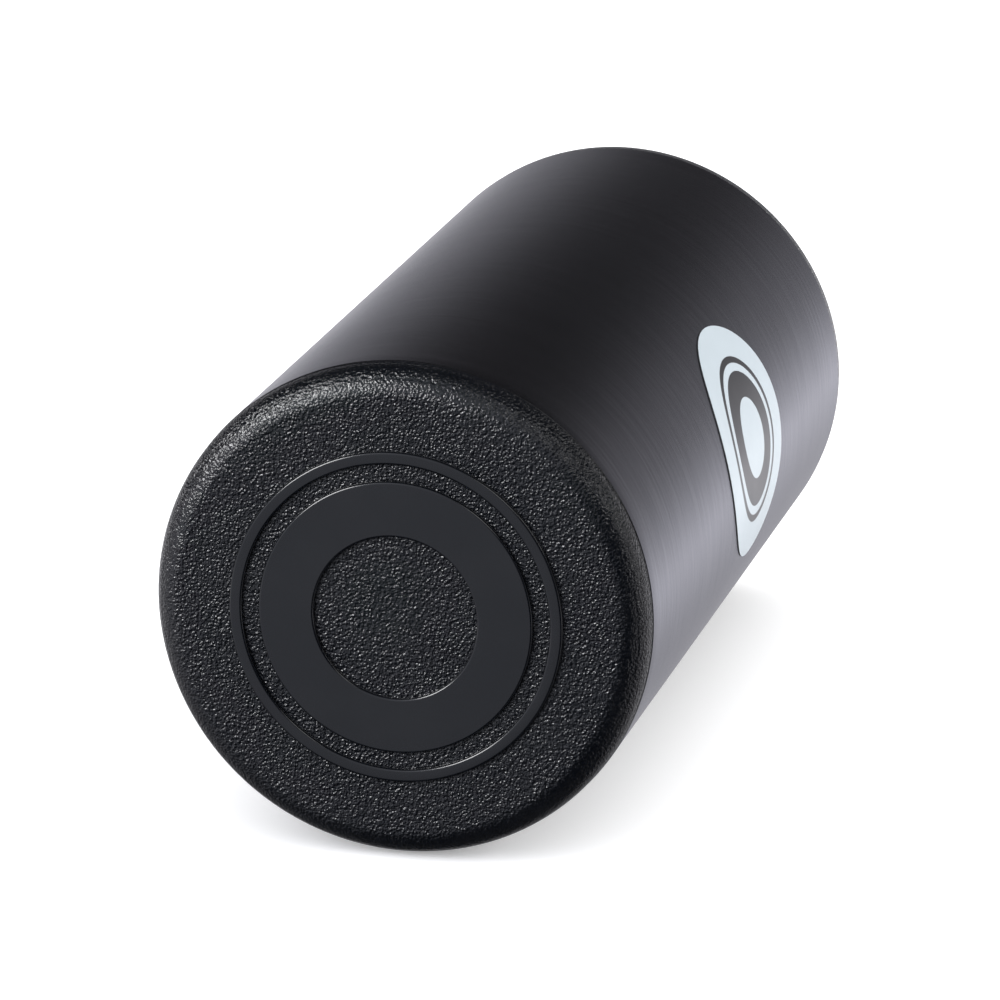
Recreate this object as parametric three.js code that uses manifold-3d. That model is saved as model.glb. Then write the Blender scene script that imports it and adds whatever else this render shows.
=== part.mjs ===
// Percussion shaker: an anodised aluminium tube closed by two moulded caps, with loose steel shot inside.
// Millimetres. It lies on its side: +Y runs along the tube from the front cap to the rear cap, +Z is up,
// and the origin is on the surface that it lies on, under the middle of the tube.

import * as THREE from 'three';
import { mergeVertices } from 'three/addons/utils/BufferGeometryUtils.js';
import Module from 'manifold-3d';

const wasm = await Module();
wasm.setup();

// Tube
const TUBE_DIAMETER = 53.5;
const TUBE_LENGTH = 100.5;
const TUBE_WALL = 1.5;
const TUBE_CHAMFER = 0.4;

// End cap outside the tube
const CAP_RISE = 3.7;
const CAP_OVERHANG = 0.15;
const CAP_EDGE_RADIUS = 3.3;
const CAP_SIDE_LAND = 0.15;
const CAP_PLATE = 2.6;
const SEAM_GAP = 0.2;

// Spigot that plugs the cap into the tube, with its crush ribs
const SPIGOT_LENGTH = 9;
const SPIGOT_WALL = 2;
const SPIGOT_CLEARANCE = 0.65;
const SPIGOT_LEAD_IN = 1;
const SPIGOT_ROOT_RADIUS = 1.2;
const RIB_COUNT = 12;
const RIB_RADIUS = 0.9;
const RIB_CLEARANCE = 0.25;

// Two smooth raised rings on the cap's face: a narrow one round a broad one
const HOOP_DIAMETER = 36;
const HOOP_WIDTH = 1.4;
const RING_GAP = 1.8;
const BAND_WIDTH = 6;
const RING_RELIEF = 0.5;
const RING_BEVEL = 0.2;

// Round sticker, wrapped on the side that faces +X. Its turn is in degrees up from the horizontal.
const STICKER_DIAMETER = 28;
const STICKER_THICKNESS = 0.1;
const STICKER_CLEARANCE = 0.04;
const STICKER_BEHIND_MIDDLE = 3.4;
const STICKER_TURN = 11.3;

// Loose steel balls, lying in rows along the bottom of the bore
const SHOT_DIAMETER = 4;
const SHOT_CLEARANCE = 0.3;
const SHOT_ROW_GAP = 0.5;
const SHOT_ROWS = 5;
const SHOT_PER_ROW = 11;

// Facets round a full turn, and along a quarter turn of a rounded edge
const ROUND_FACETS = 64;
const RIB_FACETS = 10;
const EDGE_FACETS = 6;

// Sizes that follow from those above
const tubeRadius = TUBE_DIAMETER / 2;
const boreRadius = tubeRadius - TUBE_WALL;
const capRadius = tubeRadius + CAP_OVERHANG;
const capEdge = Math.min(CAP_EDGE_RADIUS, CAP_RISE - SEAM_GAP - CAP_SIDE_LAND);
const capFloor = CAP_RISE - CAP_PLATE;
const spigotRadius = boreRadius - SPIGOT_CLEARANCE;
const spigotBore = spigotRadius - SPIGOT_WALL;
const hoopRadius = HOOP_DIAMETER / 2;
const bandRadius = hoopRadius - HOOP_WIDTH - RING_GAP;
const restHeight = capRadius * Math.cos(Math.PI / ROUND_FACETS);
const shotOrbit = boreRadius - SHOT_CLEARANCE - SHOT_DIAMETER / 2;
const shotReach = TUBE_LENGTH / 2 - SPIGOT_LENGTH - SHOT_CLEARANCE - SHOT_DIAMETER / 2;

// Finishes
const anodisedBlack = new THREE.MeshStandardMaterial({ color: 0x1b1c1f, roughness: 0.4, metalness: 0.7 });
const grainedPlastic = new THREE.MeshStandardMaterial({ color: 0x161719, roughness: 0.7, metalness: 0 });
const whiteVinyl = new THREE.MeshStandardMaterial({ color: 0xe6e9ee, roughness: 0.45, metalness: 0 });
const polishedSteel = new THREE.MeshStandardMaterial({ color: 0xb8bbbf, roughness: 0.25, metalness: 1 });

// A solid of revolution about Z, with a facet square to each axis.
// The profile is a list of [radius, height] pairs that runs up the outside.
function revolve(profile, facets) {
  const points = profile.map(([radius, height]) => new THREE.Vector2(radius, height));
  return new THREE.LatheGeometry(points, facets, Math.PI / facets).rotateX(Math.PI / 2);
}

// Points of a rounded edge about a centre, from one angle to another in radians.
function roundedEdge(centreRadius, centreHeight, radius, from, to) {
  const points = [];
  for (let step = 0; step <= EDGE_FACETS; step += 1) {
    const angle = from + ((to - from) * step) / EDGE_FACETS;
    points.push([centreRadius + radius * Math.cos(angle), centreHeight + radius * Math.sin(angle)]);
  }
  return points;
}

// A closed geometry as a solid that can be joined and cut.
function solid(geometry) {
  const bare = geometry.clone();
  bare.deleteAttribute('normal');
  bare.deleteAttribute('uv');
  const merged = mergeVertices(bare);
  const mesh = new wasm.Mesh({
    numProp: 3,
    vertProperties: new Float32Array(merged.attributes.position.array),
    triVerts: new Uint32Array(merged.index.array),
  });
  return new wasm.Manifold(mesh);
}

// A joined or cut solid back as a geometry.
function geometryOf(manifold) {
  const mesh = manifold.getMesh();
  const geometry = new THREE.BufferGeometry();
  geometry.setAttribute('position', new THREE.BufferAttribute(mesh.vertProperties, 3));
  geometry.setIndex(new THREE.BufferAttribute(mesh.triVerts, 1));
  geometry.computeVertexNormals();
  return geometry;
}

function namedMesh(name, geometry, material) {
  const mesh = new THREE.Mesh(geometry, material.clone());
  mesh.name = name;
  return mesh;
}

// The pieces below have the tube's axis on Z, with its middle at z = 0 and the front cap at the upper end.

// Tube with both outer edges chamfered.
function tubeGeometry() {
  const end = TUBE_LENGTH / 2;
  return revolve([
    [boreRadius, end],
    [boreRadius, -end],
    [tubeRadius - TUBE_CHAMFER, -end],
    [tubeRadius, TUBE_CHAMFER - end],
    [tubeRadius, end - TUBE_CHAMFER],
    [tubeRadius - TUBE_CHAMFER, end],
    [boreRadius, end],
  ], ROUND_FACETS);
}

// Profile of a ring that stands out of the cap's face, from its outer foot to its inner foot.
function raisedRing(outer, width) {
  const top = CAP_RISE + RING_RELIEF;
  const inner = outer - width;
  return [
    [outer, CAP_RISE],
    [outer, top - RING_BEVEL],
    [outer - RING_BEVEL, top],
    [inner + RING_BEVEL, top],
    [inner, top - RING_BEVEL],
    [inner, CAP_RISE],
  ];
}

// Cap moulding on a tube's end that lies at z = 0: hollow spigot, rounded rim and face.
function capMoulding() {
  const rootCentre = spigotBore - SPIGOT_ROOT_RADIUS;
  const rimCentre = capRadius - capEdge;
  return revolve([
    [0, capFloor],
    ...roundedEdge(rootCentre, capFloor - SPIGOT_ROOT_RADIUS, SPIGOT_ROOT_RADIUS, Math.PI / 2, 0),
    [spigotBore, -SPIGOT_LENGTH],
    [spigotRadius - SPIGOT_LEAD_IN, -SPIGOT_LENGTH],
    [spigotRadius, SPIGOT_LEAD_IN - SPIGOT_LENGTH],
    [spigotRadius, SEAM_GAP],
    [capRadius, SEAM_GAP],
    ...roundedEdge(rimCentre, CAP_RISE - capEdge, capEdge, 0, Math.PI / 2),
    ...raisedRing(hoopRadius, HOOP_WIDTH),
    ...raisedRing(bandRadius, BAND_WIDTH),
    [0, CAP_RISE],
  ], ROUND_FACETS);
}

// Half-round crush rib along the spigot, from inside the rim down to the lead-in, where it tapers away.
function crushRib(turn) {
  const crest = boreRadius - RIB_CLEARANCE;
  const bottom = SPIGOT_LEAD_IN - SPIGOT_LENGTH;
  const top = SEAM_GAP + RIB_RADIUS;
  const rib = revolve([
    [0, bottom],
    [RIB_RADIUS / 2, bottom],
    [RIB_RADIUS, bottom + SPIGOT_LEAD_IN],
    [RIB_RADIUS, top],
    [0, top],
  ], RIB_FACETS);
  return rib.translate(crest - RIB_RADIUS, 0, 0).rotateZ(turn);
}

function capGeometry() {
  let cap = solid(capMoulding());
  for (let rib = 0; rib < RIB_COUNT; rib += 1) {
    cap = cap.add(solid(crushRib((2 * Math.PI * (rib + 0.5)) / RIB_COUNT)));
  }
  return geometryOf(cap);
}

// Sticker: a thin shell round the tube, cut to a circle as measured along the surface.
function stickerGeometry() {
  const inner = tubeRadius + STICKER_CLEARANCE;
  const outer = inner + STICKER_THICKNESS;
  const radius = STICKER_DIAMETER / 2;
  const shell = revolve([
    [inner, STICKER_DIAMETER],
    [inner, -STICKER_DIAMETER],
    [outer, -STICKER_DIAMETER],
    [outer, STICKER_DIAMETER],
    [inner, STICKER_DIAMETER],
  ], ROUND_FACETS);
  const outline = [];
  for (let step = 0; step < ROUND_FACETS; step += 1) {
    const angle = (2 * Math.PI * step) / ROUND_FACETS;
    const across = outer * Math.sin((radius * Math.cos(angle)) / outer);
    outline.push(new THREE.Vector2(across, radius * Math.sin(angle)));
  }
  const cutter = new THREE.ExtrudeGeometry(new THREE.Shape(outline), { depth: 2 * outer, bevelEnabled: false });
  cutter.rotateX(Math.PI / 2).rotateZ(Math.PI / 2 + THREE.MathUtils.degToRad(STICKER_TURN));
  return geometryOf(solid(shell).intersect(solid(cutter)));
}

// Place of one ball in the trough of the bore. Rows lie side by side, so that each ball has a clear way up.
function shotPlace(row, column) {
  const across = (row - (SHOT_ROWS - 1) / 2) * (SHOT_DIAMETER + SHOT_ROW_GAP);
  const down = Math.sqrt(shotOrbit ** 2 - across ** 2);
  const along = shotReach * ((2 * column) / (SHOT_PER_ROW - 1) - 1);
  return new THREE.Vector3(across, -down, along);
}

const shaker = new THREE.Group();
shaker.rotation.x = Math.PI / 2;
shaker.position.z = restHeight;

shaker.add(namedMesh('tube', tubeGeometry(), anodisedBlack));

const frontCap = namedMesh('front_cap', capGeometry(), grainedPlastic);
frontCap.position.z = TUBE_LENGTH / 2;
shaker.add(frontCap);

const rearCap = namedMesh('rear_cap', capGeometry(), grainedPlastic);
rearCap.rotation.x = Math.PI;
rearCap.position.z = -TUBE_LENGTH / 2;
shaker.add(rearCap);

const sticker = namedMesh('side_sticker', stickerGeometry(), whiteVinyl);
sticker.position.z = -STICKER_BEHIND_MIDDLE;
shaker.add(sticker);

for (let row = 0; row < SHOT_ROWS; row += 1) {
  for (let column = 0; column < SHOT_PER_ROW; column += 1) {
    const name = `shot_${row + 1}_${String(column + 1).padStart(2, '0')}`;
    const ball = namedMesh(name, new THREE.IcosahedronGeometry(SHOT_DIAMETER / 2, 1), polishedSteel);
    ball.position.copy(shotPlace(row, column));
    shaker.add(ball);
  }
}

export default shaker;
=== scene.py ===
"""Looks of a hand percussion shaker that lies on its side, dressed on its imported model.

Metres, with +Z up. The tube runs along +Y from the front cap to the rear cap, and the sticker
faces +X.
"""

import logging
import math
from collections.abc import Sequence
from dataclasses import dataclass
from enum import Enum

import bmesh
import bpy
from mathutils import Matrix, Vector


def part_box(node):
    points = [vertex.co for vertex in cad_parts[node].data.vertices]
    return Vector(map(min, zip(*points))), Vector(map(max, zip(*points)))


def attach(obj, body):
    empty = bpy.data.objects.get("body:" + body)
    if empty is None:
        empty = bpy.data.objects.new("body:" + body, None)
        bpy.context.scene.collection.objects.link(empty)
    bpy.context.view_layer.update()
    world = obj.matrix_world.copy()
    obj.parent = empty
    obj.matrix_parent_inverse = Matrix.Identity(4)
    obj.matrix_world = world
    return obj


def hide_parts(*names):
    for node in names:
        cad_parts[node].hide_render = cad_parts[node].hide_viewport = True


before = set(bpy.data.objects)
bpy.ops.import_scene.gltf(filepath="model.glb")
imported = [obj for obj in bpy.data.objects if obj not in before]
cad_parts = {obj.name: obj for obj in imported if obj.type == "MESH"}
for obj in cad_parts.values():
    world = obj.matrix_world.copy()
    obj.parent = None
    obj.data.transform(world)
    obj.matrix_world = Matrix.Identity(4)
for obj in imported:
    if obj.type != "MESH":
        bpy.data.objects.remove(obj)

MM = 0.001
TURN_STEPS = 192
WELD_DISTANCE = 0.0005 * MM
SHARP_ANGLE = math.radians(35)
HALF_TURN = Matrix.Rotation(math.pi, 3, "Z")
NOISE_MIDDLE = 0.5
PRINT_MIDDLE = (0.5, 0.5)

Colour = tuple[float, float, float]
Sizes = tuple[float, float, float]
Greys = tuple[tuple[float, float], ...]

log = logging.getLogger("shaker")


class End(Enum):
    """The two ends of the tube."""

    FRONT = "front"
    REAR = "rear"

    @property
    def node(self) -> str:
        """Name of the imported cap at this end."""
        return f"{self.value}_cap"


class Value:
    """A number in a node tree. Arithmetic on it adds Math nodes."""

    def __init__(self, graph: "Graph", socket: bpy.types.NodeSocket) -> None:
        """Wraps a socket.

        Args:
            graph: The graph that the socket belongs to.
            socket: An output socket that gives a number.
        """
        self.graph = graph
        self.socket = socket

    def _math(self, operation: str, *operands: "Value | float") -> "Value":
        """Adds a Math node.

        Args:
            operation: The node's operation.
            operands: Its inputs in order.

        Returns:
            The result.
        """
        inputs = dict(enumerate(operands))
        node = self.graph.node("ShaderNodeMath", {"operation": operation}, inputs)
        return Value(self.graph, node.outputs[0])

    def __add__(self, other: "Value | float") -> "Value":
        """Sum."""
        return self._math("ADD", self, other)

    __radd__ = __add__

    def __sub__(self, other: "Value | float") -> "Value":
        """Difference."""
        return self._math("SUBTRACT", self, other)

    def __rsub__(self, other: float) -> "Value":
        """Difference from a number."""
        return self._math("SUBTRACT", other, self)

    def __mul__(self, other: "Value | float") -> "Value":
        """Product."""
        return self._math("MULTIPLY", self, other)

    __rmul__ = __mul__

    def __abs__(self) -> "Value":
        """Size without its sign."""
        return self._math("ABSOLUTE", self)

    def rise(self, low: float, high: float) -> "Value":
        """Smooth step.

        Args:
            low: The number at which the step is 0.
            high: The number at which the step is 1.

        Returns:
            The step, from 0 to 1.
        """
        settings = {"interpolation_type": "SMOOTHSTEP"}
        inputs = {"Value": self, "From Min": low, "From Max": high}
        node = self.graph.node("ShaderNodeMapRange", settings, inputs)
        return Value(self.graph, node.outputs["Result"])

    def band(self, low: float, high: float, blur: float) -> "Value":
        """Soft-edged band.

        Args:
            low: The band's lower edge.
            high: The band's upper edge.
            blur: Width of each edge.

        Returns:
            1 inside the band and 0 outside it.
        """
        half = blur / 2
        return self.rise(low - half, low + half) - self.rise(high - half, high + half)


class Graph:
    """Node tree of a material or a world, with one way to add a node."""

    # Numbers of the colour sockets on a Mix node, whose names it shares with other sockets.
    MIX_FIRST = 6
    MIX_SECOND = 7
    MIX_RESULT = 2

    def __init__(self, owner: bpy.types.Material | bpy.types.World) -> None:
        """Empties the owner's node tree.

        Args:
            owner: What the tree belongs to.
        """
        owner.use_nodes = True
        self.tree = owner.node_tree
        self.tree.nodes.clear()

    def node(
        self,
        kind: str,
        settings: dict[str, object] | None = None,
        inputs: dict[str | int, object] | None = None,
    ) -> bpy.types.Node:
        """Adds a node.

        Args:
            kind: The node's type.
            settings: Its properties, set first. A ramp's stops are pairs of place and colour.
            inputs: Numbers, colours, sockets or values for its sockets, by name or number.

        Returns:
            The node.
        """
        node = self.tree.nodes.new(kind)
        for name, setting in (settings or {}).items():
            if name == "stops":
                self._set_stops(node.color_ramp, setting)
            else:
                setattr(node, name, setting)
        for key, given in (inputs or {}).items():
            source = given.socket if isinstance(given, Value) else given
            if isinstance(source, bpy.types.NodeSocket):
                self.tree.links.new(source, node.inputs[key])
            else:
                node.inputs[key].default_value = source
        return node

    @staticmethod
    def _set_stops(ramp: bpy.types.ColorRamp, stops: Sequence[tuple[float, Colour]]) -> None:
        """Sets a ramp's stops.

        Args:
            ramp: The ramp, as new.
            stops: Place and colour of each stop, in order.
        """
        while len(ramp.elements) < len(stops):
            ramp.elements.new(1.0)
        for element, (place, colour) in zip(ramp.elements, stops):
            element.position = place
            element.color = (*colour, 1.0)

    def place(self) -> bpy.types.NodeSocket:
        """Object coordinates, which are the shaker's own frame in metres."""
        return self.node("ShaderNodeTexCoord").outputs["Object"]

    def along(self) -> Value:
        """Place along the tube, in metres from its middle."""
        parts = self.node("ShaderNodeSeparateXYZ", inputs={0: self.place()}).outputs
        return Value(self, parts["Y"])

    def pair(self, operation: str, first: object, second: object) -> Value:
        """Number that two vectors give, such as their distance.

        Args:
            operation: The Vector Math node's operation.
            first: A vector or its socket.
            second: A vector or its socket.

        Returns:
            The number.
        """
        inputs = {0: first, 1: second}
        node = self.node("ShaderNodeVectorMath", {"operation": operation}, inputs)
        return Value(self, node.outputs["Value"])

    def noise(self, pitch: Sizes, detail: float) -> Value:
        """Cloudy noise in object coordinates.

        Args:
            pitch: Size of its features along x, y and z, in metres.
            detail: Number of finer layers.

        Returns:
            The noise, from 0 to 1.
        """
        scale = tuple(1 / size for size in pitch)
        mapped = self.node("ShaderNodeMapping", inputs={"Vector": self.place(), "Scale": scale})
        inputs = {"Vector": mapped.outputs["Vector"], "Scale": 1.0, "Detail": detail}
        return Value(self, self.node("ShaderNodeTexNoise", inputs=inputs).outputs[0])

    def mix(self, factor: Value, first: object, second: object) -> bpy.types.NodeSocket:
        """Mix of two colours.

        Args:
            factor: Share of the second colour.
            first: A colour or its socket.
            second: A colour or its socket.

        Returns:
            The mixed colour's socket.
        """
        inputs = {
            0: factor,
            self.MIX_FIRST: self._opaque(first),
            self.MIX_SECOND: self._opaque(second),
        }
        node = self.node("ShaderNodeMix", {"data_type": "RGBA"}, inputs)
        return node.outputs[self.MIX_RESULT]

    @staticmethod
    def _opaque(colour: object) -> object:
        """A colour with its alpha, or a socket as it is."""
        return (*colour, 1.0) if isinstance(colour, tuple) else colour

    def bump(self, height: Value) -> bpy.types.NodeSocket:
        """Normal of a bumpy surface.

        Args:
            height: Height of the bumps, in metres.

        Returns:
            The normal's socket.
        """
        inputs = {"Strength": 1.0, "Distance": 1.0, "Height": height}
        return self.node("ShaderNodeBump", inputs=inputs).outputs["Normal"]

    def surface(self, inputs: dict[str | int, object]) -> None:
        """Ends a material in its shader.

        Args:
            inputs: What the shader's sockets get.
        """
        shader = self.node("ShaderNodeBsdfPrincipled", inputs=inputs)
        self.node("ShaderNodeOutputMaterial", inputs={"Surface": shader.outputs["BSDF"]})


@dataclass(frozen=True)
class BrushedAnodising:
    """Black anodised aluminium, brushed round the tube, with painted shade next to the front cap.
    """

    name: str = "brushed_anodising"
    colour: Colour = (0.095, 0.095, 0.099)
    line_colour: Colour = (0.145, 0.145, 0.149)
    # Painted shade: the colour that the tube darkens to next to the front cap.
    painted_shade_colour: Colour = (0.035, 0.035, 0.037)
    edge_tint: Colour = (0.94, 0.945, 1.0)
    # Width of the painted shade next to the front cap.
    painted_shade_width: float = 2.5 * MM
    roughness: float = 0.25
    roughness_swing: float = 0.1
    line_pitch: float = 0.16 * MM
    line_length: float = 22 * MM
    line_depth: float = 0.008 * MM
    streak_pitch: float = 0.55 * MM
    streak_length: float = 10 * MM
    streak_share: float = 0.48
    dark_below: float = 0.38
    pale_above: float = 0.68
    smudge_size: float = 30 * MM
    smudge_share: float = 0.4

    def material(self, rim: float) -> bpy.types.Material:
        """Makes the finish.

        Args:
            rim: Distance of the tube's rims from its middle.

        Returns:
            Its material.
        """
        material = bpy.data.materials.new(self.name)
        graph = Graph(material)
        lines = graph.noise((self.line_length, self.line_pitch, self.line_length), detail=3)
        streaks = graph.noise((self.streak_length, self.streak_pitch, self.streak_length), detail=2)
        smudges = graph.noise((self.smudge_size,) * 3, detail=2)
        tone = (1 - self.streak_share) * lines + self.streak_share * streaks
        pale = tone.rise(self.dark_below, self.pale_above)
        brushed = graph.mix(pale, self.colour, self.line_colour)
        # Painted shade: the tube's colour darkens over its last few millimetres before the front
        # cap.
        cap_shade = (-1 * graph.along()).rise(rim - self.painted_shade_width, rim)
        uneven = (1 - self.smudge_share) * lines + self.smudge_share * smudges - NOISE_MIDDLE
        graph.surface({
            # The painted shade next to the front cap is mixed into the brushed colour here.
            "Base Color": graph.mix(cap_shade, brushed, self.painted_shade_colour),
            "Specular Tint": (*self.edge_tint, 1.0),
            "Metallic": 1.0,
            "Roughness": self.roughness + self.roughness_swing * uneven,
            "Normal": graph.bump(self.line_depth * lines),
        })
        return material


@dataclass(frozen=True)
class GrainedPlastic:
    """Black moulded plastic with a coarse grain, worn round the rim and absent from the rings.

    The lip's shading leans towards the face, since only the near sides of its grain are seen.
    """

    name: str = "grained_plastic"
    colour: Colour = (0.001, 0.0014, 0.0024)
    smudge_colour: Colour = (0.002, 0.0024, 0.0034)
    specular: float = 0.5
    grain_roughness: float = 0.18
    smooth_roughness: float = 0.16
    roughness_swing: float = 0.06
    grain_pitch: float = 0.28 * MM
    grain_depth: float = 0.24 * MM
    grain_detail: float = 1.0
    lip_width: float = 1.6 * MM
    lip_lean: float = 0.7 * MM
    worn_share: float = 0.58
    worn_from: float = 0.05 * MM
    worn_to: float = 0.9 * MM
    worn_blur: float = 0.3 * MM
    smooth_from: float = 0.06 * MM
    smooth_to: float = 0.18 * MM
    smudge_size: float = 9 * MM
    clean_below: float = 0.4
    smudged_above: float = 0.7

    def material(self, seam: float, face: float) -> bpy.types.Material:
        """Makes the finish.

        Args:
            seam: Distance of the cap's seam from the middle of the tube.
            face: Distance of the cap's face from the middle of the tube.

        Returns:
            Its material.
        """
        material = bpy.data.materials.new(self.name)
        graph = Graph(material)
        along = abs(graph.along())
        smooth = along.rise(face + self.smooth_from, face + self.smooth_to)
        lean = along.rise(seam + self.lip_width, seam - self.lip_width)
        worn = along.band(face - self.worn_to, face - self.worn_from, self.worn_blur)
        grain = graph.noise((self.grain_pitch,) * 3, self.grain_detail)
        share = 1 - (1 - self.worn_share) * worn - smooth
        height = self.grain_depth * grain * share + self.lip_lean * lean
        smudges = graph.noise((self.smudge_size,) * 3, detail=3)
        smudged = smudges.rise(self.clean_below, self.smudged_above)
        roughness = self.grain_roughness + (self.smooth_roughness - self.grain_roughness) * smooth
        graph.surface({
            "Base Color": graph.mix(smudged, self.colour, self.smudge_colour),
            "Roughness": roughness + self.roughness_swing * (smudges - NOISE_MIDDLE),
            "Specular IOR Level": self.specular,
            "Normal": graph.bump(height),
        })
        return material


@dataclass(frozen=True)
class PrintedVinyl:
    """White satin vinyl with two dark rings and a dark cut edge."""

    name: str = "printed_vinyl"
    colour: Colour = (0.515, 0.58, 0.62)
    shade: Colour = (0.47, 0.53, 0.566)
    ink: Colour = (0.085, 0.085, 0.09)
    edge_colour: Colour = (0.06, 0.06, 0.064)
    roughness: float = 0.32
    roughness_swing: float = 0.1
    band_outside: float = 7.7 * MM
    band_inside: float = 4.6 * MM
    hoop_outside: float = 9.5 * MM
    hoop_inside: float = 8.7 * MM
    print_blur: float = 0.06 * MM
    edge_width: float = 0.03 * MM
    smudge_size: float = 6 * MM

    def material(self, print_map: str, diameter: float) -> bpy.types.Material:
        """Makes the finish.

        Args:
            print_map: Name of the UV map, in which the sticker fills the unit square.
            diameter: The sticker's diameter.

        Returns:
            Its material.
        """
        material = bpy.data.materials.new(self.name)
        graph = Graph(material)
        flat = graph.node("ShaderNodeUVMap", {"uv_map": print_map}).outputs["UV"]
        radius = graph.pair("DISTANCE", flat, (*PRINT_MIDDLE, 0.0)) * diameter
        band = radius.band(self.band_inside, self.band_outside, self.print_blur)
        hoop = radius.band(self.hoop_inside, self.hoop_outside, self.print_blur)
        rings = band + hoop
        edge = radius.rise(diameter / 2 - self.edge_width, diameter / 2 - self.edge_width / 2)
        smudges = graph.noise((self.smudge_size,) * 3, detail=3)
        paper = graph.mix(smudges, self.colour, self.shade)
        graph.surface({
            "Base Color": graph.mix(edge, graph.mix(rings, paper, self.ink), self.edge_colour),
            "Metallic": rings,
            "Roughness": self.roughness + self.roughness_swing * (smudges - NOISE_MIDDLE),
        })
        return material


@dataclass(frozen=True)
class GroundSteel:
    """Ground steel balls, slightly dulled by each other."""

    name: str = "ground_steel"
    colour: Colour = (0.56, 0.57, 0.59)
    dulled_colour: Colour = (0.4, 0.41, 0.43)
    roughness: float = 0.18
    dulled_roughness: float = 0.38
    scuff_size: float = 0.8 * MM
    bright_below: float = 0.45
    dulled_above: float = 0.7

    def material(self) -> bpy.types.Material:
        """Makes the finish.

        Returns:
            Its material.
        """
        material = bpy.data.materials.new(self.name)
        graph = Graph(material)
        scuffs = graph.noise((self.scuff_size,) * 3, detail=2)
        dulled = scuffs.rise(self.bright_below, self.dulled_above)
        graph.surface({
            "Base Color": graph.mix(dulled, self.colour, self.dulled_colour),
            "Metallic": 1.0,
            "Roughness": self.roughness + (self.dulled_roughness - self.roughness) * dulled,
        })
        return material


@dataclass(frozen=True)
class PaleFloor:
    """Matt white studio floor that glows a little, which lightens the shadow on it."""

    name: str = "pale_floor"
    colour: Colour = (0.96, 0.96, 0.965)
    shade: Colour = (0.94, 0.94, 0.945)
    cloud_size: float = 400 * MM
    roughness: float = 0.9
    specular: float = 0.1
    glow_colour: Colour = (1.0, 1.0, 1.0)
    glow: float = 0.3

    def material(self) -> bpy.types.Material:
        """Makes the finish.

        Returns:
            Its material.
        """
        material = bpy.data.materials.new(self.name)
        graph = Graph(material)
        clouds = graph.noise((self.cloud_size,) * 3, detail=2)
        graph.surface({
            "Base Color": graph.mix(clouds, self.colour, self.shade),
            "Roughness": self.roughness,
            "Specular IOR Level": self.specular,
            "Emission Color": (*self.glow_colour, 1.0),
            "Emission Strength": self.glow,
        })
        return material


@dataclass(frozen=True)
class Layout:
    """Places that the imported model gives."""

    axis_height: float
    tube_radius: float
    tube_end: float

    @classmethod
    def read(cls) -> "Layout":
        """Reads the places.

        Returns:
            The places, from the tube's box.
        """
        low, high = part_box("tube")
        return cls(
            axis_height=(low.z + high.z) / 2,
            tube_radius=(high.x - low.x) / 2,
            tube_end=high.y,
        )


@dataclass(frozen=True)
class Corner:
    """A corner of a turned piece's half section, with the radius and steps of its rounding."""

    radius: float
    along: float
    rounding: float = 0.0
    steps: int = 4


def spin_round(mesh: bmesh.types.BMesh, axis: Vector) -> None:
    """Spins a mesh a full turn round an axis through the origin, and merges its doubles.

    Args:
        mesh: Points and edges, such as a half section or a spoke.
        axis: The axis' direction.
    """
    bmesh.ops.spin(
        mesh,
        geom=mesh.verts[:] + mesh.edges[:],
        axis=axis,
        angle=math.tau,
        steps=TURN_STEPS,
        use_merge=True,
    )
    bmesh.ops.remove_doubles(mesh, verts=mesh.verts[:], dist=WELD_DISTANCE)


def turn(corners: Sequence[Corner], closed: bool) -> bmesh.types.BMesh:
    """Turns a half section round the y axis.

    Args:
        corners: The section's corners in order.
        closed: Whether the last corner joins the first, as in a tube.

    Returns:
        The turned solid.
    """
    mesh = bmesh.new()
    points = [mesh.verts.new((corner.radius, corner.along, 0)) for corner in corners]
    pairs = list(zip(points, points[1:]))
    if closed:
        pairs.append((points[-1], points[0]))
    for pair in pairs:
        mesh.edges.new(pair)
    for corner, point in zip(corners, points):
        if corner.rounding:
            bmesh.ops.bevel(
                mesh,
                geom=[point],
                affect="VERTICES",
                offset_type="OFFSET",
                offset=corner.rounding,
                segments=corner.steps,
                profile=0.5,
                material=-1,
            )
    spin_round(mesh, Vector((0, 1, 0)))
    bmesh.ops.recalc_face_normals(mesh, faces=mesh.faces[:])
    return mesh


def make_object(
    name: str,
    mesh: bmesh.types.BMesh,
    material: bpy.types.Material,
) -> bpy.types.Object:
    """Makes an object of a mesh, smooth but for its sharp edges.

    Args:
        name: The object's name.
        mesh: Its mesh, which is used up.
        material: Its material.

    Returns:
        The object.
    """
    data = bpy.data.meshes.new(name)
    mesh.to_mesh(data)
    mesh.free()
    data.shade_smooth()
    data.set_sharp_from_angle(angle=SHARP_ANGLE)
    data.materials.append(material)
    made = bpy.data.objects.new(name, data)
    bpy.context.scene.collection.objects.link(made)
    return made


def seat(piece: bpy.types.Object, node: str, body: str) -> None:
    """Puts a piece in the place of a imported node.

    Args:
        piece: The piece.
        node: The node that it stands for.
        body: The body that it moves with.
    """
    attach(piece, body)
    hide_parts(node)
    faces = len(piece.data.polygons)
    log.info("%s stands for %s on %s: %d faces", piece.name, node, body, faces)


def even_out(piece: bpy.types.Object) -> None:
    """Keeps a piece's flats flat in its shading.

    Args:
        piece: A piece with flats between narrow roundings.
    """
    modifier = piece.modifiers.new("flat_shading", "WEIGHTED_NORMAL")
    modifier.keep_sharp = True


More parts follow.
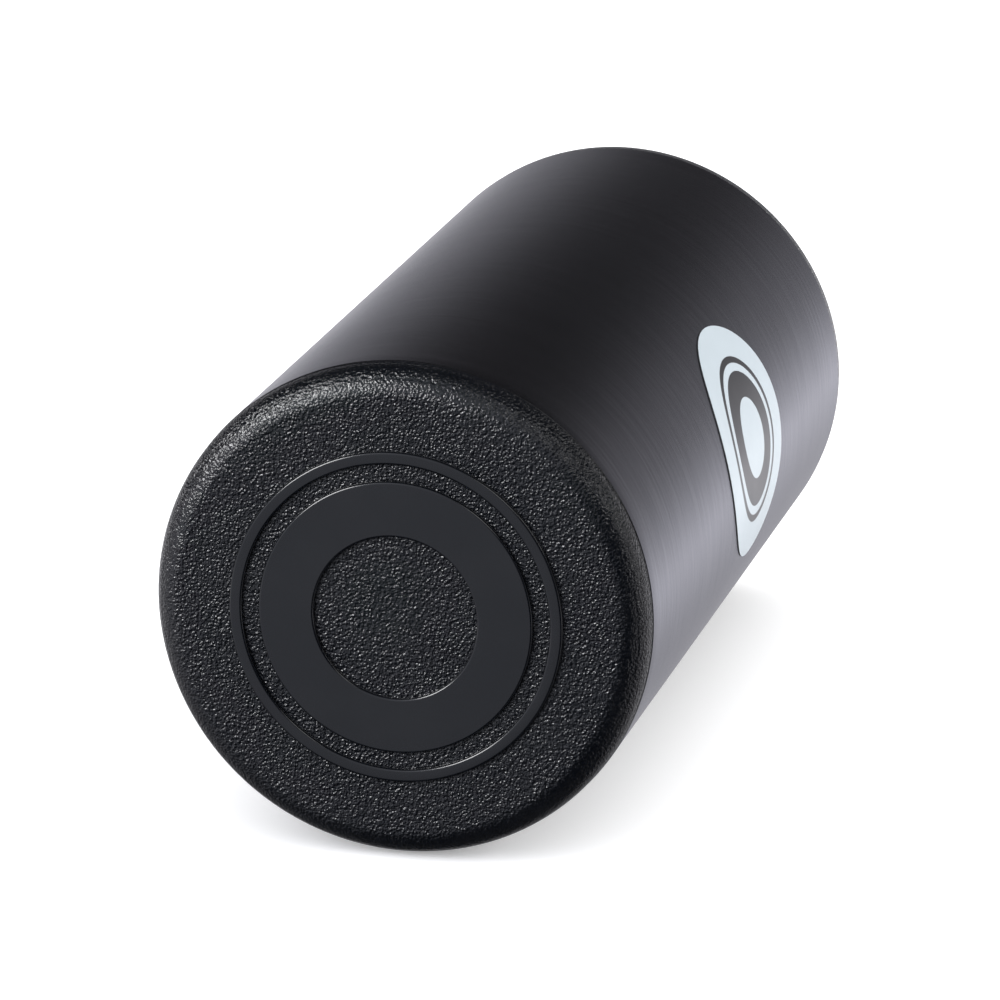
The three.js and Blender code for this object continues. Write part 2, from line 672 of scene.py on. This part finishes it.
@dataclass
class TubeBody:
    """The brushed tube, open at both ends, with its outer edges broken."""

    layout: Layout
    wall: float = 1.5 * MM
    rim_rounding: float = 0.14 * MM

    def build(self, finish: BrushedAnodising) -> None:
        """Makes the tube.

        Args:
            finish: Its finish.
        """
        radius = self.layout.tube_radius
        bore = radius - self.wall
        end = self.layout.tube_end
        corners = [
            Corner(bore, -end),
            Corner(radius, -end, self.rim_rounding),
            Corner(radius, end, self.rim_rounding),
            Corner(bore, end),
        ]
        mesh = turn(corners, closed=True)
        bmesh.ops.translate(mesh, vec=(0, 0, self.layout.axis_height), verts=mesh.verts[:])
        piece = make_object("brushed_tube", mesh, finish.material(end))
        even_out(piece)
        seat(piece, "tube", "shell")


@dataclass
class EndCap:
    """A moulded cap: rounded rim, two raised rings, and a hollow spigot with crush ribs."""

    layout: Layout
    end: End
    rise: float = 3.7 * MM
    step_in: float = 0.06 * MM
    edge_radius: float = 3 * MM
    edge_steps: int = 14
    plate: float = 2.6 * MM
    seam_gap: float = 0.06 * MM
    spigot_length: float = 9 * MM
    spigot_radius: float = 24.6 * MM
    spigot_wall: float = 2 * MM
    lead_in: float = 1 * MM
    root_radius: float = 1.2 * MM
    rib_count: int = 12
    rib_height: float = 0.4 * MM
    hoop_radius: float = 18 * MM
    hoop_width: float = 1.4 * MM
    ring_gap: float = 1.8 * MM
    band_width: float = 6 * MM
    ring_relief: float = 0.5 * MM
    ring_rounding: float = 0.28 * MM

    @property
    def face(self) -> float:
        """Distance of the cap's face from the middle of the tube."""
        return self.layout.tube_end + self.rise

    def raised_ring(self, outside: float, width: float) -> list[Corner]:
        """Section of a ring that stands out of the face.

        Args:
            outside: Its outer radius.
            width: Its width.

        Returns:
            Its corners, from the outer foot to the inner foot.
        """
        top = self.rise + self.ring_relief
        inside = outside - width
        return [
            Corner(outside, self.rise),
            Corner(outside, top, self.ring_rounding),
            Corner(inside, top, self.ring_rounding),
            Corner(inside, self.rise),
        ]

    def section(self) -> list[Corner]:
        """Half section of the cap on a tube's end that lies at 0.

        Returns:
            Its corners, from the middle of its inside to the middle of its face.
        """
        rim_radius = self.layout.tube_radius - self.step_in
        spigot_bore = self.spigot_radius - self.spigot_wall
        inside = self.rise - self.plate
        band_radius = self.hoop_radius - self.hoop_width - self.ring_gap
        return [
            Corner(0, inside),
            Corner(spigot_bore, inside, self.root_radius),
            Corner(spigot_bore, -self.spigot_length),
            Corner(self.spigot_radius - self.lead_in, -self.spigot_length),
            Corner(self.spigot_radius, self.lead_in - self.spigot_length),
            Corner(self.spigot_radius, self.seam_gap),
            Corner(rim_radius, self.seam_gap),
            Corner(rim_radius, self.rise, self.edge_radius, self.edge_steps),
            *self.raised_ring(self.hoop_radius, self.hoop_width),
            *self.raised_ring(band_radius, self.band_width),
            Corner(0, self.rise),
        ]

    def raise_ribs(self, mesh: bmesh.types.BMesh) -> None:
        """Pulls crush ribs out of the spigot's wall.

        Args:
            mesh: The turned cap.
        """
        steps_per_rib = TURN_STEPS // self.rib_count
        for point in mesh.verts:
            radius = math.hypot(point.co.x, point.co.z)
            step = round(math.atan2(point.co.z, point.co.x) / math.tau * TURN_STEPS)
            on_wall = abs(radius - self.spigot_radius) < WELD_DISTANCE
            if on_wall and step % steps_per_rib == steps_per_rib // 2:
                stretch = 1 + self.rib_height / radius
                point.co.x *= stretch
                point.co.z *= stretch

    def build(self, material: bpy.types.Material) -> bpy.types.Object:
        """Makes the cap.

        Args:
            material: Its material.

        Returns:
            The cap.
        """
        mesh = turn(self.section(), closed=False)
        self.raise_ribs(mesh)
        bmesh.ops.translate(mesh, vec=(0, self.layout.tube_end, 0), verts=mesh.verts[:])
        if self.end is End.FRONT:
            bmesh.ops.rotate(mesh, matrix=HALF_TURN, verts=mesh.verts[:])
        bmesh.ops.translate(mesh, vec=(0, 0, self.layout.axis_height), verts=mesh.verts[:])
        piece = make_object(f"{self.end.value}_grained_cap", mesh, material)
        even_out(piece)
        seat(piece, self.end.node, "shell")
        return piece


@dataclass
class SideSticker:
    """Round vinyl sticker, wrapped on the tube."""

    layout: Layout
    diameter: float = 27 * MM
    thickness: float = 0.1 * MM
    glue: float = 0.01 * MM
    behind_middle: float = 2.93 * MM
    turned_up: float = math.radians(12.3)
    spoke_steps: int = 14
    print_map: str = "sticker_print"

    def build(self, finish: PrintedVinyl) -> None:
        """Makes the sticker.

        Args:
            finish: Its finish.
        """
        mesh = self.flat_disc()
        self.map_print(mesh)
        self.wrap(mesh)
        bmesh.ops.recalc_face_normals(mesh, faces=mesh.faces[:])
        material = finish.material(self.print_map, self.diameter)
        piece = make_object("printed_sticker", mesh, material)
        seat(piece, "side_sticker", "shell")

    def flat_disc(self) -> bmesh.types.BMesh:
        """Cuts the sticker flat, with its thickness along +Z.

        Returns:
            The closed disc.
        """
        mesh = bmesh.new()
        ends = [mesh.verts.new((0, 0, 0)), mesh.verts.new((self.diameter / 2, 0, 0))]
        spoke = mesh.edges.new(ends)
        bmesh.ops.subdivide_edges(mesh, edges=[spoke], cuts=self.spoke_steps - 1)
        spin_round(mesh, Vector((0, 0, 1)))
        lifted = bmesh.ops.extrude_face_region(mesh, geom=mesh.faces[:])["geom"]
        top = [item for item in lifted if isinstance(item, bmesh.types.BMVert)]
        bmesh.ops.translate(mesh, vec=(0, 0, self.thickness), verts=top)
        return mesh

    def map_print(self, mesh: bmesh.types.BMesh) -> None:
        """Lays the print's map on the flat disc, which fills the unit square.

        Args:
            mesh: The disc.
        """
        layer = mesh.loops.layers.uv.new(self.print_map)
        middle = Vector(PRINT_MIDDLE)
        for face in mesh.faces:
            for loop in face.loops:
                loop[layer].uv = loop.vert.co.xy / self.diameter + middle

    def wrap(self, mesh: bmesh.types.BMesh) -> None:
        """Wraps the flat disc round the tube.

        Args:
            mesh: The disc.
        """
        under = self.layout.tube_radius + self.glue
        for point in mesh.verts:
            angle = self.turned_up + point.co.x / under
            radius = under + point.co.z
            height = self.layout.axis_height + radius * math.sin(angle)
            along = self.behind_middle + point.co.y
            point.co = Vector((radius * math.cos(angle), along, height))


@dataclass
class LooseShot:
    """The steel balls in the bore, each of which flies by itself."""

    nodes: Sequence[str]
    fineness: int = 3

    def build(self, finish: GroundSteel) -> None:
        """Makes the balls.

        Args:
            finish: Their finish.
        """
        material = finish.material()
        for node in self.nodes:
            low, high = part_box(node)
            mesh = bmesh.new()
            bmesh.ops.create_icosphere(
                mesh,
                subdivisions=self.fineness,
                radius=(high.z - low.z) / 2,
                matrix=Matrix.Translation((low + high) / 2),
            )
            piece = make_object(node.replace("shot", "ball"), mesh, material)
            seat(piece, node, node)


@dataclass(frozen=True)
class SoftBox:
    """A soft light that is aimed at the front cap, and that the camera doesn't see."""

    name: str
    direction: Vector
    distance: float
    size: float
    radiance: float
    lights_floor: bool

    def build(self, target: Vector) -> None:
        """Makes the light.

        Args:
            target: The point that it shines on.
        """
        data = bpy.data.lights.new(self.name, "AREA")
        data.size = self.size
        data.energy = self.radiance * math.pi * self.size**2
        lamp = bpy.data.objects.new(self.name, data)
        lamp.location = target + self.distance * self.direction.normalized()
        lamp.rotation_euler = self.direction.to_track_quat("Z", "Y").to_euler()
        lamp.visible_camera = False
        lamp.visible_diffuse = self.lights_floor
        bpy.context.scene.collection.objects.link(lamp)


@dataclass(frozen=True)
class KeyLight:
    """A broad light at a cap's upper left, which brings out its grain and shines on it alone."""

    end: End
    front_direction: Vector
    strength: float = 3.2
    angle: float = math.radians(26)
    colour: Colour = (0.97, 0.97, 0.97)

    def build(self, cap: bpy.types.Object) -> None:
        """Makes the light.

        Args:
            cap: The piece that it shines on.
        """
        name = f"{self.end.value}_key"
        data = bpy.data.lights.new(name, "SUN")
        data.energy = self.strength
        data.angle = self.angle
        data.color = self.colour
        lamp = bpy.data.objects.new(name, data)
        at_rear = self.end is End.REAR
        direction = HALF_TURN @ self.front_direction if at_rear else self.front_direction
        lamp.rotation_euler = direction.to_track_quat("Z", "Y").to_euler()
        bpy.context.scene.collection.objects.link(lamp)
        lit = bpy.data.collections.new(f"{name}_receivers")
        lit.objects.link(cap)
        lamp.light_linking.receiver_collection = lit


@dataclass
class Studio:
    """White floor under an even overhead light, in a studio that the gloss sees by direction.

    The tube mirrors what lies behind the shaker, which is given as greys at elevations in
    degrees. The front cap mirrors what lies ahead, which is given likewise, by the angle
    towards its key light: 90 degrees is that light's direction.
    """

    floor_half_width: float = 500 * MM
    overhead_strength: float = 4.0
    overhead_angle: float = math.radians(150)
    backdrop: Colour = (1.0, 1.0, 1.0)
    key_direction: Vector = Vector((-0.66, -0.61, 0.44)).normalized().freeze()
    boxes: tuple[SoftBox, ...] = (
        SoftBox(
            name="right_top",
            direction=Vector((0.55, -0.43, 0.7)),
            distance=900 * MM,
            size=360 * MM,
            radiance=2.8,
            lights_floor=False,
        ),
        SoftBox(
            name="right_fill",
            direction=Vector((0.82, 0.1, 0.45)),
            distance=700 * MM,
            size=250 * MM,
            radiance=5.0,
            lights_floor=True,
        ),
    )
    behind: Greys = (
        (-60.0, 0.05),
        (-40.0, 0.32),
        (-21.0, 0.65),
        (-14.0, 1.4),
        (-6.0, 0.8),
        (0.0, 0.46),
        (5.0, 0.38),
        (10.0, 0.29),
        (15.0, 0.11),
        (18.0, 0.015),
        (33.0, 0.01),
        (50.0, 0.06),
        (90.0, 0.12),
    )
    ahead: Greys = (
        (-16.0, 0.01),
        (3.0, 0.01),
        (15.0, 0.02),
        (24.0, 0.06),
        (35.0, 0.66),
        (43.0, 0.74),
        (49.0, 0.78),
        (54.0, 0.84),
        (60.0, 1.0),
        (70.0, 1.3),
        (90.0, 1.6),
    )
    ahead_until: float = -0.55
    behind_from: float = -0.25
    behind_tint: Colour = (1.0, 0.99, 1.04)
    ahead_tint: Colour = (0.96, 0.99, 1.1)

    def build(self, target: Vector, caps: dict[End, bpy.types.Object]) -> None:
        """Makes the floor, the lights and the surroundings.

        Args:
            target: The point that the soft boxes shine on.
            caps: The pieces that the key lights shine on.
        """
        self.floor()
        self.overhead_light()
        for end, cap in caps.items():
            KeyLight(end, self.key_direction).build(cap)
        for box in self.boxes:
            box.build(target)
        self.surroundings()
        bpy.context.scene.view_settings.view_transform = "Standard"
        counts = (len(caps), len(self.boxes))
        log.info("studio: floor, overhead light, %d key lights, %d soft boxes", *counts)

    def floor(self) -> None:
        """Lays the floor, which the gloss doesn't mirror."""
        mesh = bmesh.new()
        bmesh.ops.create_grid(mesh, x_segments=1, y_segments=1, size=self.floor_half_width)
        floor = make_object("studio_floor", mesh, PaleFloor().material())
        floor.visible_glossy = False

    def overhead_light(self) -> None:
        """Makes the broad, even light from above."""
        data = bpy.data.lights.new("overhead", "SUN")
        data.energy = self.overhead_strength
        data.angle = self.overhead_angle
        lamp = bpy.data.objects.new("overhead", data)
        lamp.visible_glossy = False
        bpy.context.scene.collection.objects.link(lamp)

    @staticmethod
    def shading(graph: Graph, height: Value, greys: Greys, tint: Colour) -> bpy.types.NodeSocket:
        """Colour of the surroundings by elevation.

        Args:
            graph: The world's graph.
            height: Sine of the elevation, or of the angle towards a light.
            greys: Elevations in degrees with their greys, in order.
            tint: What the greys are multiplied by.

        Returns:
            The colour's socket.
        """
        heights = [math.sin(math.radians(elevation)) for elevation, _ in greys]
        span = heights[-1] - heights[0]
        stops = [
            ((place - heights[0]) / span, tuple(grey * part for part in tint))
            for place, (_, grey) in zip(heights, greys)
        ]
        share = (height - heights[0]) * (1 / span)
        return graph.node("ShaderNodeValToRGB", {"stops": stops}, {"Fac": share}).outputs["Color"]

    def surroundings(self) -> None:
        """Makes the world: a pale backdrop for the camera, and the studio for the gloss."""
        world = bpy.data.worlds.new("studio")
        bpy.context.scene.world = world
        graph = Graph(world)
        ray = graph.node("ShaderNodeTexCoord").outputs["Generated"]
        parts = graph.node("ShaderNodeSeparateXYZ", inputs={0: ray}).outputs
        along = Value(graph, parts["Y"])
        height = Value(graph, parts["Z"])
        toward_key = graph.pair("DOT_PRODUCT", ray, self.key_direction)
        ahead = self.shading(graph, toward_key, self.ahead, self.ahead_tint)
        behind = self.shading(graph, height, self.behind, self.behind_tint)
        around = graph.mix(along.rise(self.ahead_until, self.behind_from), ahead, behind)
        studio = graph.node("ShaderNodeBackground", inputs={"Color": around})
        pale = graph.node("ShaderNodeBackground", inputs={"Color": (*self.backdrop, 1.0)})
        seen = graph.node("ShaderNodeLightPath").outputs["Is Camera Ray"]
        inputs = {0: seen, 1: studio.outputs["Background"], 2: pale.outputs["Background"]}
        mixed = graph.node("ShaderNodeMixShader", inputs=inputs)
        graph.node("ShaderNodeOutputWorld", inputs={"Surface": mixed.outputs["Shader"]})


@dataclass(frozen=True)
class PhotoCamera:
    """Camera at the photograph's viewing angle."""

    azimuth: float = math.radians(14.104)
    elevation: float = math.radians(16.43)
    distance: float = 656.6 * MM
    aim_along: float = -9.36 * MM
    lens: float = 212.48
    sensor: float = 36.0

    def build(self, axis_height: float) -> None:
        """Makes the camera and hands the scene to it.

        Args:
            axis_height: Height of the tube's axis, at which the camera aims.
        """
        data = bpy.data.cameras.new("photo_camera")
        data.lens = self.lens
        data.sensor_width = self.sensor
        camera = bpy.data.objects.new("photo_camera", data)
        level = math.cos(self.elevation)
        back = Vector((
            level * math.sin(self.azimuth),
            -level * math.cos(self.azimuth),
            math.sin(self.elevation),
        ))
        camera.location = Vector((0, self.aim_along, axis_height)) + self.distance * back
        camera.rotation_euler = back.to_track_quat("Z", "Y").to_euler()
        bpy.context.scene.collection.objects.link(camera)
        bpy.context.scene.camera = camera
        log.info("camera at %s", tuple(round(part, 4) for part in camera.location))


def main() -> None:
    """Dresses the shaker piece by piece and sets up the studio."""
    logging.basicConfig(level=logging.INFO, format="%(name)s: %(message)s")
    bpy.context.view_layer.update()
    layout = Layout.read()
    PhotoCamera().build(layout.axis_height)
    TubeBody(layout).build(BrushedAnodising())
    face = EndCap(layout, End.FRONT).face
    plastic = GrainedPlastic().material(layout.tube_end, face)
    caps = {end: EndCap(layout, end).build(plastic) for end in End}
    SideSticker(layout).build(PrintedVinyl())
    shot = sorted(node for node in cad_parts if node.startswith("shot_"))
    LooseShot(shot).build(GroundSteel())
    Studio().build(Vector((0, -face, layout.axis_height)), caps)


if __name__ == "__main__":
    main()
